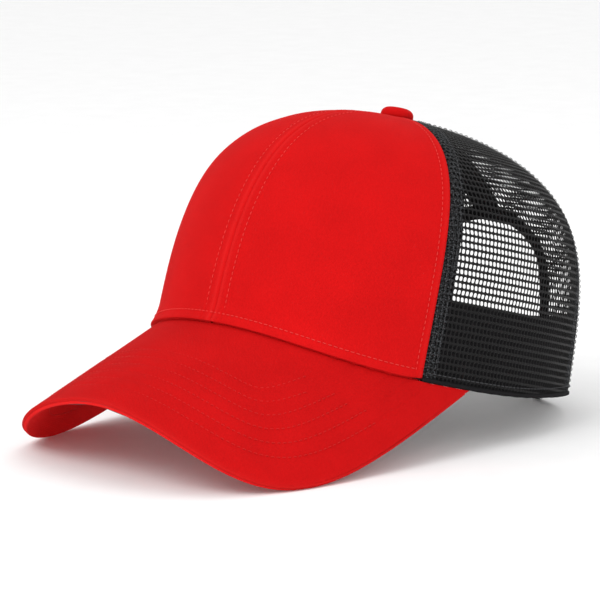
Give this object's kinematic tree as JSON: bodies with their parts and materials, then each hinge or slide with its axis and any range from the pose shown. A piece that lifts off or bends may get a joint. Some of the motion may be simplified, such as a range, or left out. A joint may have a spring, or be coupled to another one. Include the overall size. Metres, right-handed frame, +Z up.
{
  "type": "mesh cap",
  "caption": "Six-panel trucker cap: two stiff fabric front panels, open-mesh sides and back, curved visor, covered button and a snap strap across a rear arch opening.",
  "frame": {"origin": "centre of the cap's bounding box on the surface that it lies on, nose up on its visor's wings and its rear rim", "axes": "+Z up, -Y the way the wearer faces (the visor), +X the wearer's left; the crown's own axis leans 15.4 degrees back from +Z towards +Y"},
  "size_m": [0.1766, 0.2578, 0.1408],
  "materials": {
    "front_cloth": "matte woven",
    "visor_cloth": "matte woven",
    "button_cloth": "matte woven",
    "stiffener": "matte resin-stiffened",
    "mesh_net": "knitted polyester net",
    "seam_tape": "matte tape",
    "binding": "matte folded tape",
    "sweatband_cloth": "matte woven",
    "visor_board": "moulded board",
    "strap_plastic": "satin moulded",
    "rivet_metal": "pressed steel"
  },
  "bodies": {
    "cap": {"front_panel_left": "front_cloth", "buckram_left": "stiffener", "side_mesh_left": "mesh_net", "back_mesh_left": "mesh_net", "front_panel_right": "front_cloth", "buckram_right": "stiffener", "side_mesh_right": "mesh_net", "back_mesh_right": "mesh_net", "tape_center_front": "seam_tape", "tape_center_back": "seam_tape", "tape_front_side_left": "seam_tape", "tape_side_back_left": "seam_tape", "tape_front_side_right": "seam_tape", "tape_side_back_right": "seam_tape", "arch_binding": "binding", "sweatband": "sweatband_cloth", "visor_top_cloth": "visor_cloth", "visor_board": "visor_board", "visor_under_cloth": "visor_cloth", "crown_button": "button_cloth", "button_rivet": "rivet_metal", "strap_holes_root": "strap_plastic", "strap_pegs_root": "strap_plastic"},
    "holes_tongue": {"strap_holes": "strap_plastic"},
    "pegs_tongue": {"strap_pegs": "strap_plastic"}
  },
  "joints": [
    {"name": "holes_tongue_swing", "type": "hinge", "parent": "cap", "child": "holes_tongue", "pos_m": [-0.02573, 0.11944, 0.01288], "axis": [0.0349, 0.1642, 0.9858], "range_deg": [0, 70], "stiffness_Nm_per_rad": 0.01},
    {"name": "pegs_tongue_swing", "type": "hinge", "parent": "cap", "child": "pegs_tongue", "pos_m": [0.02571, 0.11936, 0.01289], "axis": [-0.035, 0.1642, 0.9858], "range_deg": [0, 40], "stiffness_Nm_per_rad": 0.01}
  ]
}
